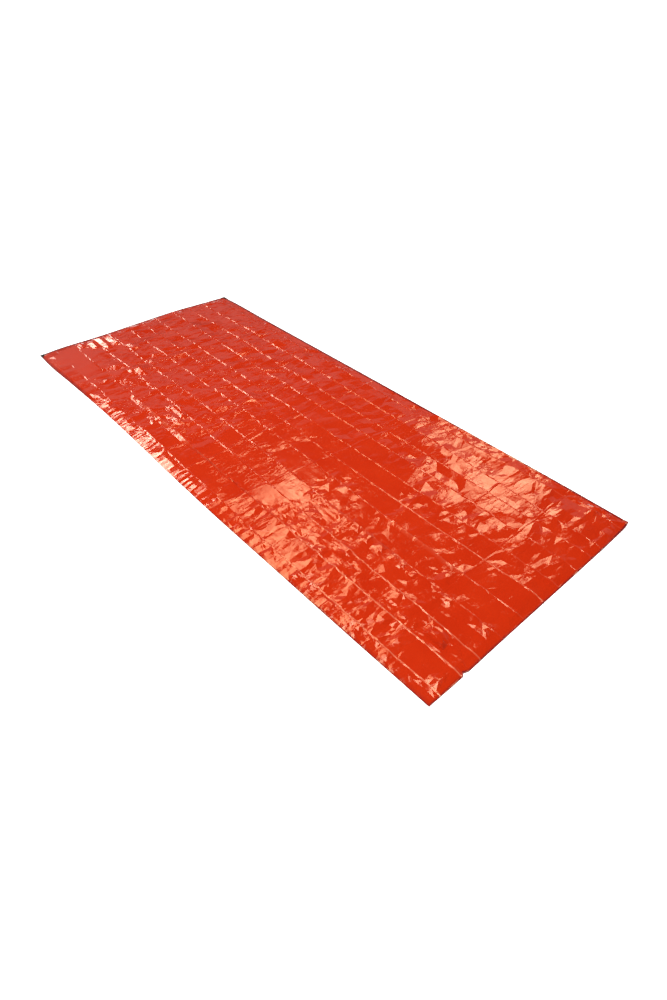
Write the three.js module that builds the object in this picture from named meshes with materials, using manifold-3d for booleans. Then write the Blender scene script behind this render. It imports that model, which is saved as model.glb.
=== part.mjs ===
// An emergency sleeping bag of glossy orange-red film, lying flat with its open mouth towards -Y.
// Two plies of film are welded along both sides and across the foot, and part a little at the mouth.
// The upper ply keeps the folds of its packing: eleven lengthwise creases and a few across.
// Units are millimetres, +Z is up, and the origin is the middle of the face that lies on the ground.

import * as THREE from 'three';
import { mergeVertices } from 'three/addons/utils/BufferGeometryUtils.js';
import Module from 'manifold-3d';

// Driving dimensions
const WIDTH = 928;
const LENGTH = 2135;
const FILM = 1.2; // thickness of each ply
const WELD_WIDTH = 12; // flat margin in which the plies are fused
const WELD_HEIGHT = 2.6;
const LOFT = 9; // top of the upper ply beside its creases
const MOUTH_LOFT = 8.8; // the same at the free edge of the mouth
const MOUTH_HEM = 25; // strip along the mouth that drops from LOFT to MOUTH_LOFT
const FOOT_SLOPE = 60; // strip along the foot that drops from LOFT to the weld
const CREASE_FOOT = 11; // from a lengthwise crest to where its flank ends
const CROSS_FOOT = 13; // the same for a crease across the bag
const MOUTH_OVERRUN = 20; // how far the pocket's cut runs out past the mouth
const NICK_WIDTH = 20; // the small tear in the edge of the mouth
const NICK_DEPTH = 10;
const NICK_X = -332;
const PATCH_WIDTH = 22; // the black tape on each corner of the foot
const PATCH_LENGTH = 32;
const PATCH_THICKNESS = 1;
const PATCH_OVERHANG = 2; // how far the patch's legs stand out past the film's corner
const GAP = 0.3; // between separate pieces

const HALF_WIDTH = WIDTH / 2;
const HALF_LENGTH = LENGTH / 2;

// How far each long edge is drawn in from the full width, at stations along the length
const SIDE_DRAW_IN = [
  { y: -1055, left: 5, right: 18 },
  { y: -800, left: 2.5, right: 12 },
  { y: -500, left: 1, right: 9.5 },
  { y: -220, left: 0, right: 8 },
  { y: 0, left: 2.5, right: 6 },
  { y: 300, left: 9, right: 5 },
  { y: 500, left: 11, right: 4 },
  { y: 750, left: 7, right: 3 },
  { y: 950, left: 3, right: 0 },
  { y: 1055, left: 8, right: 3 },
];

// How far the mouth and the foot are drawn in from the full length, at stations across the width
const END_DRAW_IN = [
  { x: -460, mouth: 12, foot: 27 },
  { x: -375, mouth: 9, foot: 16 },
  { x: -225, mouth: 7.5, foot: 17 },
  { x: 0, mouth: 4, foot: 7.5 },
  { x: 200, mouth: 1, foot: 0 },
  { x: 375, mouth: 0, foot: 9 },
  { x: 425, mouth: 1.5, foot: 11 },
  { x: 460, mouth: 9, foot: 14 },
];

// Where each lengthwise crease lies: its x at five stations from the foot to the mouth
const LENGTHWISE_CREASES = [
  { foot: -395, upper: -400, middle: -410, lower: -418, mouth: -421 },
  { foot: -315, upper: -326, middle: -333, lower: -339, mouth: -345 },
  { foot: -233, upper: -234, middle: -250, lower: -264, mouth: -275 },
  { foot: -153, upper: -156, middle: -164, lower: -177, mouth: -188 },
  { foot: -66, upper: -67, middle: -73, lower: -88, mouth: -98 },
  { foot: 5, upper: 3, middle: -2, lower: -12, mouth: -11 },
  { foot: 75, upper: 73, middle: 74, lower: 70, mouth: 62 },
  { foot: 170, upper: 163, middle: 162, lower: 159, mouth: 152 },
  { foot: 250, upper: 249, middle: 238, lower: 233, mouth: 227 },
  { foot: 328, upper: 334, middle: 322, lower: 306, mouth: 280 },
  { foot: 409, upper: 410, middle: 404, lower: 394, mouth: 402 },
];
const CREASE_STATIONS = [
  { y: -1000, x: 'mouth' },
  { y: -500, x: 'lower' },
  { y: 0, x: 'middle' },
  { y: 500, x: 'upper' },
  { y: 1000, x: 'foot' },
];

// How high each of those creases stands at the foot, the middle and the mouth,
// and how far the strip to its right sags
const CREASE_RELIEF = [
  { foot: 0.8, middle: 1.4, mouth: 1.8, sag: 0.9 },
  { foot: 1.2, middle: 3.2, mouth: 1.6, sag: 0.6 },
  { foot: 2.4, middle: 1.8, mouth: 2.2, sag: 1.1 },
  { foot: 2.6, middle: 2.0, mouth: 1.7, sag: 0.7 },
  { foot: 1.7, middle: 2.6, mouth: 2.4, sag: 0.8 },
  { foot: 1.6, middle: 1.9, mouth: 2.3, sag: 1.0 },
  { foot: 2.1, middle: 1.7, mouth: 1.4, sag: 0.6 },
  { foot: 1.8, middle: 2.2, mouth: 1.9, sag: 1.2 },
  { foot: 1.5, middle: 2.3, mouth: 1.8, sag: 0.7 },
  { foot: 2.3, middle: 2.1, mouth: 2.5, sag: 0.9 },
  { foot: 1.2, middle: 1.5, mouth: 2.0, sag: 0 },
];

// Creases across the bag, from the mouth to the foot: y at the left and right edges, crest height,
// and the stretch of the width in which the crest stands
const CROSS_CREASES = [
  { left: -872, right: -868, crest: 1.7, from: -110, to: 450 },
  { left: -793, right: -806, crest: 1.3, from: -360, to: 230 },
  { left: -592, right: -606, crest: 1.5, from: -450, to: 400 },
  { left: -448, right: -460, crest: 1.2, from: 40, to: 450 },
  { left: -198, right: -290, crest: 1.4, from: -430, to: 330 },
  { left: -100, right: -100, crest: 0.9, from: -450, to: 40 },
  { left: 6, right: 6, crest: 2.0, from: -440, to: 440 },
  { left: 98, right: 102, crest: 0.8, from: -190, to: 20 },
  { left: 597, right: 597, crest: 0.8, from: 60, to: 310 },
];
const CREST_FADE = 50; // length over which a cross crest dies away at each end of its stretch

// Plain stations along the length, where the lengthwise creases may bend
const PLAIN_STATIONS = [-960, -700, -530, -355, 220, 340, 470, 740, 880];

// The value of one column of a table at a place between its rows
function readTable(table, key, place, column) {
  const last = table.length - 1;
  if (place <= table[0][key]) return table[0][column];
  if (place >= table[last][key]) return table[last][column];
  const next = table.findIndex((row) => row[key] > place);
  const before = table[next - 1];
  const after = table[next];
  const share = (place - before[key]) / (after[key] - before[key]);
  return THREE.MathUtils.lerp(before[column], after[column], share);
}

// The film's outline
const leftEdge = (y) => -HALF_WIDTH + readTable(SIDE_DRAW_IN, 'y', y, 'left');
const rightEdge = (y) => HALF_WIDTH - readTable(SIDE_DRAW_IN, 'y', y, 'right');
const mouthEdge = (x) => -HALF_LENGTH + readTable(END_DRAW_IN, 'x', x, 'mouth');
const footEdge = (x) => HALF_LENGTH - readTable(END_DRAW_IN, 'x', x, 'foot');

// A lengthwise crease's place and crest height at a station along the bag
function creaseX(crease, y) {
  const stations = CREASE_STATIONS.map((station) => ({ y: station.y, x: crease[station.x] }));
  return readTable(stations, 'y', y, 'x');
}

function creaseCrest(relief, y) {
  const stations = [
    { y: -HALF_LENGTH, crest: relief.mouth },
    { y: 0, crest: relief.middle },
    { y: HALF_LENGTH, crest: relief.foot },
  ];
  return readTable(stations, 'y', y, 'crest');
}

// A cross crease's crest height at a place across the bag
function crossCrest(crease, x) {
  const rise = THREE.MathUtils.smoothstep(x, crease.from - CREST_FADE, crease.from);
  const fall = THREE.MathUtils.smoothstep(x, crease.to, crease.to + CREST_FADE);
  return crease.crest * rise * (1 - fall);
}

// Columns of the film's grid, from the left edge to the right one: each has a place and a lift above LOFT
function filmColumns() {
  const flat = () => 0;
  const columns = [
    { x: leftEdge, welded: true },
    { x: (y) => leftEdge(y) + WELD_WIDTH, welded: true },
  ];
  LENGTHWISE_CREASES.forEach((crease, index) => {
    const next = LENGTHWISE_CREASES[index + 1];
    const relief = CREASE_RELIEF[index];
    columns.push({ x: (y) => creaseX(crease, y) - CREASE_FOOT, lift: flat });
    columns.push({ x: (y) => creaseX(crease, y), lift: (y) => creaseCrest(relief, y) });
    columns.push({ x: (y) => creaseX(crease, y) + CREASE_FOOT, lift: flat });
    if (next) {
      columns.push({ x: (y) => (creaseX(crease, y) + creaseX(next, y)) / 2, lift: () => -relief.sag });
    }
  });
  columns.push({ x: (y) => rightEdge(y) - WELD_WIDTH, welded: true });
  columns.push({ x: rightEdge, welded: true });
  return columns;
}

// Rows of the film's grid, from the mouth to the foot
function filmRows() {
  const flat = () => 0;
  const level = LOFT;
  const inner = PLAIN_STATIONS.map((y) => ({ at: y, y: () => y, lift: flat, level }));
  for (const crease of CROSS_CREASES) {
    const slanted = (x) => THREE.MathUtils.mapLinear(x, -HALF_WIDTH, HALF_WIDTH, crease.left, crease.right);
    inner.push({ at: crease.left - CROSS_FOOT, y: (x) => slanted(x) - CROSS_FOOT, lift: flat, level });
    inner.push({ at: crease.left, y: slanted, lift: (x) => crossCrest(crease, x), level });
    inner.push({ at: crease.left + CROSS_FOOT, y: (x) => slanted(x) + CROSS_FOOT, lift: flat, level });
  }
  inner.sort((a, b) => a.at - b.at);
  return [
    { y: mouthEdge, lift: flat, level: MOUTH_LOFT },
    { y: (x) => mouthEdge(x) + MOUTH_HEM, lift: flat, level },
    ...inner,
    { y: (x) => footEdge(x) - FOOT_SLOPE, lift: flat, level },
    { y: (x) => footEdge(x) - WELD_WIDTH, welded: true },
    { y: footEdge, welded: true },
  ];
}

// The top of the upper ply as a grid of points, one list for each row
function filmTop(columns, rows) {
  return rows.map((row) => columns.map((column) => {
    const x = column.x(row.y(column.x(0)));
    const y = row.y(x);
    const welded = column.welded || row.welded;
    const z = welded ? WELD_HEIGHT : row.level + column.lift(y) + row.lift(x);
    return new THREE.Vector3(x, y, z);
  }));
}

// A closed solid between a grid of points and a level floor below it
function solidUnder(grid, floor) {
  const rowCount = grid.length;
  const columnCount = grid[0].length;
  const points = grid.flat();
  const triangles = [];
  const at = (row, column) => row * columnCount + column;
  for (let row = 0; row + 1 < rowCount; row += 1) {
    for (let column = 0; column + 1 < columnCount; column += 1) {
      const [a, b] = [at(row, column), at(row, column + 1)];
      const [c, d] = [at(row + 1, column + 1), at(row + 1, column)];
      triangles.push(a, b, c, a, c, d);
    }
  }
  const rim = [];
  for (let column = 0; column < columnCount - 1; column += 1) rim.push(at(0, column));
  for (let row = 0; row < rowCount - 1; row += 1) rim.push(at(row, columnCount - 1));
  for (let column = columnCount - 1; column > 0; column -= 1) rim.push(at(rowCount - 1, column));
  for (let row = rowCount - 1; row > 0; row -= 1) rim.push(at(row, 0));
  const floorStart = points.length;
  const floorRim = rim.map((index) => points[index].clone().setZ(floor));
  points.push(...floorRim);
  rim.forEach((upper, index) => {
    const next = (index + 1) % rim.length;
    const lower = floorStart + index;
    const lowerNext = floorStart + next;
    triangles.push(lower, lowerNext, rim[next], lower, rim[next], upper);
  });
  const outline = floorRim.map((point) => new THREE.Vector2(point.x, point.y));
  for (const [a, b, c] of THREE.ShapeUtils.triangulateShape(outline, [])) {
    triangles.push(floorStart + c, floorStart + b, floorStart + a);
  }
  const geometry = new THREE.BufferGeometry().setFromPoints(points);
  geometry.setIndex(triangles);
  return geometry;
}

// Booleans on closed geometries
const wasm = await Module();
wasm.setup();

function toManifold(geometry) {
  const bare = geometry.clone();
  bare.deleteAttribute('normal');
  bare.deleteAttribute('uv');
  const merged = mergeVertices(bare);
  const vertProperties = Float32Array.from(merged.attributes.position.array);
  const triVerts = Uint32Array.from(merged.index.array);
  return new wasm.Manifold(new wasm.Mesh({ numProp: 3, vertProperties, triVerts }));
}

function toGeometry(manifold) {
  const mesh = manifold.getMesh();
  const geometry = new THREE.BufferGeometry();
  geometry.setAttribute('position', new THREE.BufferAttribute(Float32Array.from(mesh.vertProperties), 3));
  geometry.setIndex(Array.from(mesh.triVerts));
  geometry.computeVertexNormals();
  return geometry;
}

// The tear: a V-shaped nick through both plies at the edge of the mouth
function nickGeometry() {
  const edge = mouthEdge(NICK_X);
  const shape = new THREE.Shape();
  shape.moveTo(NICK_X - NICK_WIDTH / 2, edge);
  shape.lineTo(NICK_X - NICK_WIDTH / 2, edge - MOUTH_OVERRUN);
  shape.lineTo(NICK_X + NICK_WIDTH / 2, edge - MOUTH_OVERRUN);
  shape.lineTo(NICK_X + NICK_WIDTH / 2, edge);
  shape.lineTo(NICK_X + NICK_WIDTH / 4, edge + NICK_DEPTH);
  const depth = LOFT + 2 * WELD_HEIGHT;
  const geometry = new THREE.ExtrudeGeometry(shape, { depth, bevelEnabled: false });
  return geometry.translate(0, 0, -WELD_HEIGHT);
}

// The bag: the whole lying form, less the pocket between its plies and the nick
function bagGeometry() {
  const columns = filmColumns();
  const rows = filmRows();
  const top = filmTop(columns, rows);
  const underside = top.slice(0, -1).map((row) => row.slice(1, -1).map((point) => {
    return point.clone().setZ(point.z - FILM);
  }));
  const past = underside[0].map((point) => point.clone().setY(point.y - MOUTH_OVERRUN));
  const whole = toManifold(solidUnder(top, 0));
  const pocket = toManifold(solidUnder([past, ...underside], FILM));
  return toGeometry(whole.subtract(pocket).subtract(toManifold(nickGeometry())));
}

// A triangle of tape lying on a corner of the foot; side is -1 for the left corner and 1 for the right
function patchGeometry(side) {
  const edge = side < 0 ? leftEdge(HALF_LENGTH) : rightEdge(HALF_LENGTH);
  const cornerX = edge + side * PATCH_OVERHANG;
  const cornerY = Math.min(footEdge(edge), footEdge(edge - side * PATCH_WIDTH)) + PATCH_OVERHANG;
  const shape = new THREE.Shape();
  shape.moveTo(cornerX, cornerY);
  shape.lineTo(cornerX - side * PATCH_WIDTH, cornerY);
  shape.lineTo(cornerX, cornerY - PATCH_LENGTH);
  const geometry = new THREE.ExtrudeGeometry(shape, { depth: PATCH_THICKNESS, bevelEnabled: false });
  return geometry.translate(0, 0, WELD_HEIGHT + GAP);
}

const filmMaterial = new THREE.MeshStandardMaterial({ color: 0xd83a16, roughness: 0.22, metalness: 0.1 });
const tapeMaterial = new THREE.MeshStandardMaterial({ color: 0x1b1716, roughness: 0.55, metalness: 0 });

function namedMesh(name, geometry, material) {
  const mesh = new THREE.Mesh(geometry, material);
  mesh.name = name;
  return mesh;
}

const sleepingBag = new THREE.Group();
sleepingBag.add(namedMesh('bag', bagGeometry(), filmMaterial));
sleepingBag.add(namedMesh('corner_patch_left', patchGeometry(-1), tapeMaterial));
sleepingBag.add(namedMesh('corner_patch_right', patchGeometry(1), tapeMaterial.clone()));

// The origin is the middle of the uneven outline's box
const middle = new THREE.Box3().setFromObject(sleepingBag).getCenter(new THREE.Vector3());
sleepingBag.position.set(-middle.x, -middle.y, 0);

export default sleepingBag;
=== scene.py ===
# %% [markdown]
# # An emergency sleeping bag of glossy film
# The real thing is two plies of very thin orange-red film, welded along both sides and across the
# foot. It was packed small, so it keeps the marks of its folding: eleven creases along it, some
# across, and a crumple of small flat facets in between. This lesson loads the part's plain solids
# as a frame and lays a much finer film in their place.

# %% Load the frame
import math

import bpy
import numpy as np
from mathutils import Matrix, Vector


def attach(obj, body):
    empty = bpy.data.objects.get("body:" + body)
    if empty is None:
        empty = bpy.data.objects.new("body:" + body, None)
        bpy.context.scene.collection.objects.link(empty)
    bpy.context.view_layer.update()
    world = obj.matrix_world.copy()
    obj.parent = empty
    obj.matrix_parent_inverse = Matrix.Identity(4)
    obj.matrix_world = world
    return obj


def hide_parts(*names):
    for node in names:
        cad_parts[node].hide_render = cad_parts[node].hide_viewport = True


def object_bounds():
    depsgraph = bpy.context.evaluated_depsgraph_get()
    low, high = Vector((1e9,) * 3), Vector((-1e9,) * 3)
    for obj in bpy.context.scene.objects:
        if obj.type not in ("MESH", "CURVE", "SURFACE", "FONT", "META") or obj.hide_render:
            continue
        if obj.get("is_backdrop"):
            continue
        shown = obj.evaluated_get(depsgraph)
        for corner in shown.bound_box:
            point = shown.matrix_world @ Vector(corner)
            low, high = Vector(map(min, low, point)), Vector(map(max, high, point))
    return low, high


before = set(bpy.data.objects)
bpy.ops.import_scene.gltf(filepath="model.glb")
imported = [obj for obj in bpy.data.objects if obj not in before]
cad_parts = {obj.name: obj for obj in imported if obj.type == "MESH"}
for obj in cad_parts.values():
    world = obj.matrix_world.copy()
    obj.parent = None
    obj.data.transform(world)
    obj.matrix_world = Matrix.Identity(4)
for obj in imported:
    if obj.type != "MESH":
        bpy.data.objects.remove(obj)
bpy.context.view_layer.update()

MM = 0.001
print("nodes in the frame:", sorted(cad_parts))

# %% [markdown]
# ## The outline
# A real bag's edges are cut straight, but the film creeps when it is welded and folded, so no edge
# stays straight. Two short tables say how far each edge is drawn in from the full size, and a
# smooth curve through their rows gives every place between. A curve through a few rows is easier to
# correct than a traced outline.

# %% Outline tables, in millimetres
def table(columns, *rows):
    """A table as a list of rows, each a dictionary with the names of the columns."""
    return [dict(zip(columns.split(), row)) for row in rows]


WIDTH = 927.0
LENGTH = 2134.0
SIDE_DRAW_IN = table(
    "y left right",
    (-1055, 5, 18),
    (-800, 2.5, 12),
    (-500, 1, 9.5),
    (-220, 0, 8),
    (0, 2.5, 6),
    (300, 9, 5),
    (500, 11, 4),
    (750, 7, 3),
    (950, 3, 0),
    (1055, 8, 3),
)
END_DRAW_IN = table(
    "x mouth foot",
    (-460, 12, 27),
    (-375, 9, 16),
    (-225, 7.5, 17),
    (0, 4, 7.5),
    (200, 1, 0),
    (375, 0, 9),
    (425, 1.5, 11),
    (460, 9, 14),
)
print("rows of the outline:", len(SIDE_DRAW_IN), "and", len(END_DRAW_IN))


# %% The edges as smooth curves, with the nick in the mouth
NICK_X = -332.0
NICK_WIDTH = 20.0
NICK_DEPTH = 10.0


def smooth_read(stations, values, at):
    """A smooth curve through a few values, read at any places between their stations."""
    stations = np.asarray(stations, dtype=float)
    values = np.asarray(values, dtype=float)
    slopes = np.gradient(values, stations)
    left = np.clip(np.searchsorted(stations, at) - 1, 0, len(stations) - 2)
    span = stations[left + 1] - stations[left]
    t = np.clip((at - stations[left]) / span, 0, 1)
    rise = t * t * (3 - 2 * t)
    start_bend = t * (1 - t) ** 2 * slopes[left] * span
    end_bend = t * t * (t - 1) * slopes[left + 1] * span
    return values[left] * (1 - rise) + values[left + 1] * rise + start_bend + end_bend


def read_table(rows, key, name, at):
    """One column of a table as a smooth curve over another column."""
    return smooth_read([row[key] for row in rows], [row[name] for row in rows], at)


def left_edge(y):
    return -WIDTH / 2 + read_table(SIDE_DRAW_IN, "y", "left", y)


def right_edge(y):
    return WIDTH / 2 - read_table(SIDE_DRAW_IN, "y", "right", y)


def foot_edge(x):
    return LENGTH / 2 - read_table(END_DRAW_IN, "x", "foot", x)


def mouth_edge(x):
    nick = np.clip(1 - np.abs(x - NICK_X) / (NICK_WIDTH / 2), 0, 1)
    return -LENGTH / 2 + read_table(END_DRAW_IN, "x", "mouth", x) + NICK_DEPTH * nick


print("width at the middle in mm:", round(float(right_edge(0.0) - left_edge(0.0)), 1))

# %% [markdown]
# ## The lengthwise creases
# The bag was folded lengthwise into twelve, so eleven creases run along it. Their places come from a
# table of five stations along the bag, with a little wander added so that no crease is a drawn line.

# %% The lengthwise creases, in millimetres
CREASE_PLACES = table(
    "foot upper middle lower mouth",
    (-395, -400, -410, -418, -421),
    (-315, -326, -333, -339, -345),
    (-233, -234, -250, -264, -275),
    (-153, -156, -164, -177, -188),
    (-66, -67, -73, -88, -98),
    (5, 3, -2, -12, -11),
    (75, 73, 74, 70, 62),
    (170, 163, 162, 159, 152),
    (250, 249, 238, 233, 227),
    (328, 334, 322, 306, 280),
    (409, 410, 404, 394, 402),
)
CREASE_STATIONS = {"mouth": -1000, "lower": -500, "middle": 0, "upper": 500, "foot": 1000}
CREASE_WANDER = 0.7
CREASE_WAVES = {"longest": 420, "shortest": 80}
CREASE_STEPS = 900
MARGIN = 50.0
SEED = 84

dice = np.random.default_rng(SEED)


def ripple(at, longest, shortest, terms=5):
    """A gentle random wave of height about 1, made of a few sines."""
    lengths = np.geomspace(longest, shortest, terms)
    phases = dice.uniform(0, 2 * math.pi, terms)
    waves = [np.sin(2 * math.pi * at / length + phase) for length, phase in zip(lengths, phases)]
    return np.sum(waves, axis=0) / math.sqrt(terms / 2)


def along_crease(row, at):
    """A value along one crease, read between its five stations."""
    return smooth_read(list(CREASE_STATIONS.values()), [row[name] for name in CREASE_STATIONS], at)


def crease_line(row):
    """The x of one crease as a function of y."""
    steps = np.linspace(-LENGTH / 2 - MARGIN, LENGTH / 2 + MARGIN, CREASE_STEPS)
    line = along_crease(row, steps) + CREASE_WANDER * ripple(steps, **CREASE_WAVES)
    return lambda y: np.interp(y, steps, line)


crease_x = [crease_line(row) for row in CREASE_PLACES]
print("creases:", len(crease_x))

# %% [markdown]
# ## Finishes
# Film is a smooth coloured plastic: a strong body colour with a clear mirror on top of it. What makes
# it look like film is the mirror breaking up, so the finish adds a very fine crinkle as bump, a little
# haze, and a pale line along the sharp creases, partly the stress whitening that a fold leaves in plastic
# and partly a painted highlight. It also paints a dark shade along the edges of the film.

# %% Helpers for node trees
def set_sockets(tree, node, sockets):
    """Gives each socket of a node a plain value, or a link where the value is another node's socket."""
    for name, value in sockets.items():
        if isinstance(value, bpy.types.NodeSocket):
            tree.links.new(value, node.inputs[name])
        else:
            node.inputs[name].default_value = value


def add_node(tree, kind, sockets=None, **settings):
    """Adds a node and returns its outputs, from which the next node can be linked."""
    node = tree.nodes.new(kind)
    for name, value in settings.items():
        setattr(node, name, value)
    set_sockets(tree, node, sockets or {})
    return node.outputs


def add_interface(tree, way, kinds):
    """Gives a node group its own named inputs or outputs."""
    for name, kind in kinds.items():
        tree.interface.new_socket(name, in_out=way, socket_type="NodeSocket" + kind)


print("node trees are made in Blender", bpy.app.version_string)


# %% A shared node group for crinkle and haze
def crinkle_group():
    group = bpy.data.node_groups.new("film_crinkle", "ShaderNodeTree")
    add_interface(group, "INPUT", {"Vector": "Vector", "Size": "Float", "Wrinkle Size": "Float"})
    add_interface(group, "OUTPUT", {"Height": "Float", "Haze": "Float"})
    entry = add_node(group, "NodeGroupInput")
    place = entry["Vector"]
    squeezed = add_node(group, "ShaderNodeMapping", {"Vector": place, "Scale": (0.3, 1.0, 1.0)})["Vector"]
    cells = {"Vector": squeezed, "Scale": entry["Size"]}
    ripples = add_node(group, "ShaderNodeTexVoronoi", cells, distance="MANHATTAN")
    patches = add_node(group, "ShaderNodeTexNoise", {"Vector": place, "Scale": 14.0, "Detail": 3.0})
    limits = {"Value": patches["Fac"], "From Min": 0.46, "From Max": 0.6, "To Min": 0.12}
    where = add_node(group, "ShaderNodeMapRange", limits)
    sway = add_node(group, "ShaderNodeTexNoise", {"Vector": place, "Scale": 30.0})
    terms = {0: sway["Color"], 1: (0.02, 0.02, 0.0), 2: squeezed}
    swayed = add_node(group, "ShaderNodeVectorMath", terms, operation="MULTIPLY_ADD")
    cells = {"Vector": swayed["Vector"], "Scale": entry["Wrinkle Size"]}
    wrinkles = add_node(group, "ShaderNodeTexVoronoi", cells, feature="DISTANCE_TO_EDGE")
    groove = add_node(group, "ShaderNodeMapRange", {"Value": wrinkles["Distance"], "From Max": 0.05})
    terms = {0: ripples["Distance"], 1: groove["Result"]}
    both = add_node(group, "ShaderNodeMath", terms, operation="ADD")
    terms = {0: both["Value"], 1: where["Result"]}
    relief = add_node(group, "ShaderNodeMath", terms, operation="MULTIPLY")
    clouds = add_node(group, "ShaderNodeTexNoise", {"Vector": place, "Scale": 9.0, "Detail": 5.0})
    add_node(group, "NodeGroupOutput", {"Height": relief["Value"], "Haze": clouds["Fac"]})
    return group


crinkle = crinkle_group()
print("node group:", crinkle.name)

# %% Orange-red film
WRINKLE_SIZE = 42.0


def new_finish(name):
    material = bpy.data.materials.new(name)
    material.use_nodes = True
    return material, material.node_tree


def place_crinkle(tree, size):
    """Places the shared group in a finish, on the piece's own coordinates."""
    place = add_node(tree, "ShaderNodeTexCoord")
    sockets = {"Vector": place["Object"], "Size": size, "Wrinkle Size": WRINKLE_SIZE}
    return add_node(tree, "ShaderNodeGroup", sockets, node_tree=crinkle)


def mixed(tree, share, one, other):
    sockets = {"Factor": share, "A": one, "B": other}
    return add_node(tree, "ShaderNodeMix", sockets, data_type="RGBA")["Result"]


def mark(tree, name):
    """A mark that the points of the film carry."""
    return add_node(tree, "ShaderNodeAttribute", attribute_name=name)["Fac"]


def film_finish():
    material, tree = new_finish("orange_red_film")
    crumple = place_crinkle(tree, size=110.0)
    colour = mixed(tree, crumple["Haze"], (0.55, 0.021, 0.003, 1), (0.66, 0.036, 0.0055, 1))
    # Pale line along the creases: partly stress whitening, partly a painted highlight
    colour = mixed(tree, mark(tree, "crease"), colour, (0.85, 0.24, 0.13, 1))
    # Painted shade: a dark maroon line along the edges, where the film turns down
    colour = mixed(tree, mark(tree, "edge"), colour, (0.22, 0.015, 0.014, 1))
    limits = {"Value": crumple["Haze"], "To Min": 0.06, "To Max": 0.15}
    gloss = add_node(tree, "ShaderNodeMapRange", limits)
    grain = {"Distance": 0.0007, "Strength": mark(tree, "wrinkle"), "Height": crumple["Height"]}
    bump = add_node(tree, "ShaderNodeBump", grain)
    set_sockets(tree, tree.nodes["Principled BSDF"], {
        "Base Color": colour,
        "Roughness": gloss["Result"],
        "Normal": bump["Normal"],
        "IOR": 1.52,
        "Specular Tint": (1.0, 0.72, 0.5, 1),
    })
    return material


film = film_finish()
print("finish:", film.name)


# %% Black tape
def tape_finish():
    material, tree = new_finish("black_tape")
    crumple = place_crinkle(tree, size=400.0)
    grain = {"Strength": 0.3, "Distance": 0.0004, "Height": crumple["Height"]}
    bump = add_node(tree, "ShaderNodeBump", grain)
    set_sockets(tree, tree.nodes["Principled BSDF"], {
        "Base Color": mixed(tree, crumple["Haze"], (0.008, 0.007, 0.007, 1), (0.028, 0.022, 0.02, 1)),
        "Roughness": 0.75,
        "Normal": bump["Normal"],
        "Specular IOR Level": 0.2,
    })
    return material


tape = tape_finish()
print("finish:", tape.name)

# %% [markdown]
# ## A net of flat plates
# Crumpled film isn't wavy: it breaks into flat plates with sharp edges between them. A regular grid
# blurs such edges, so the sheet is a loose net of triangles instead. Its columns are the edges, the
# weld, the creases with a foot on either side, and free columns in each strip. Its breaks are the
# folds across the bag. Points are strewn along every column from break to break, and neighbouring
# columns are zipped together with triangles, so every crease lies on edges of the net.

# %% Lines that the columns follow, in millimetres
WELD_WIDTH = 12.0
RIM_WIDTH = 3.0
FAR_RIM_WIDTH = 9.0
LEFT_FOOT = table("y width", (-1060, 3.0), (-300, 3.5), (50, 4.6), (1060, 4.6))
RIGHT_FOOT = 2.5
BROAD_FEET = table(
    "crease near far width",
    (2, 60, 560, 16),
    (4, -790, -370, 18),
    (5, -900, -560, 16),
)
BROAD_FADE = 80.0


def shifted(line, by):
    return lambda at: line(at) + by


def between(one, other, share):
    return lambda at: (1 - share) * one(at) + share * other(at)


def soft_step(value):
    value = np.clip(value, 0, 1)
    return value * value * (3 - 2 * value)


def soft_span(at, low, high, fade, outside=0.0):
    """1 between two limits and 0 well beyond them; outside is the share of the fade that lies beyond."""
    return soft_step(np.minimum(at - low, high - at) / fade + outside)


def right_rim(at):
    return right_edge(at) - np.interp(at, (-LENGTH / 2, LENGTH / 2), (RIM_WIDTH, FAR_RIM_WIDTH))


def left_foot(crease):
    """The line at the left foot of a crease, which spreads along a part of some creases."""
    broad = [row for row in BROAD_FEET if row["crease"] == crease]

    def line(at):
        width = read_table(LEFT_FOOT, "y", "width", at)
        for row in broad:
            spread = soft_span(at, row["near"], row["far"], BROAD_FADE)
            width = width + (row["width"] - width) * spread
        return posts[crease](at) - width

    return line


posts = [shifted(left_edge, WELD_WIDTH), *crease_x, shifted(right_edge, -WELD_WIDTH)]
print("strips between the posts:", len(posts) - 1)

# %% Columns of the net
RIGHT_SLOPE = 2.0
FREE_SHARES = {2: [0.11, 0.35, 0.58, 0.8], 3: [0.25, 0.5, 0.75], 4: [0.33, 0.67]}
columns = []


def add_column(line, strip, kind, crowd=1):
    columns.append({"line": line, "strip": strip, "kind": kind, "crowd": crowd})


add_column(left_edge, 0, "edge")
add_column(shifted(left_edge, RIM_WIDTH), 0, "rim")
add_column(posts[0], 0, "weld")
last_strip = len(posts) - 2
for strip in range(last_strip + 1):
    first = strip == 0
    last = strip == last_strip
    inner_left = posts[strip] if first else shifted(posts[strip], RIGHT_FOOT)
    inner_right = shifted(posts[strip + 1], -RIGHT_SLOPE) if last else left_foot(strip + 1)
    if not first:
        add_column(inner_left, strip, "foot")
    shares = FREE_SHARES.get(strip, [0.5])
    for share in shares:
        add_column(between(inner_left, inner_right, share), strip, "free", len(shares))
    add_column(inner_right, strip, "foot")
    add_column(posts[strip + 1], strip, "weld" if last else "crest")
add_column(right_rim, last_strip, "rim")
add_column(right_edge, last_strip, "edge")
print("columns of the net:", len(columns))

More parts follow.
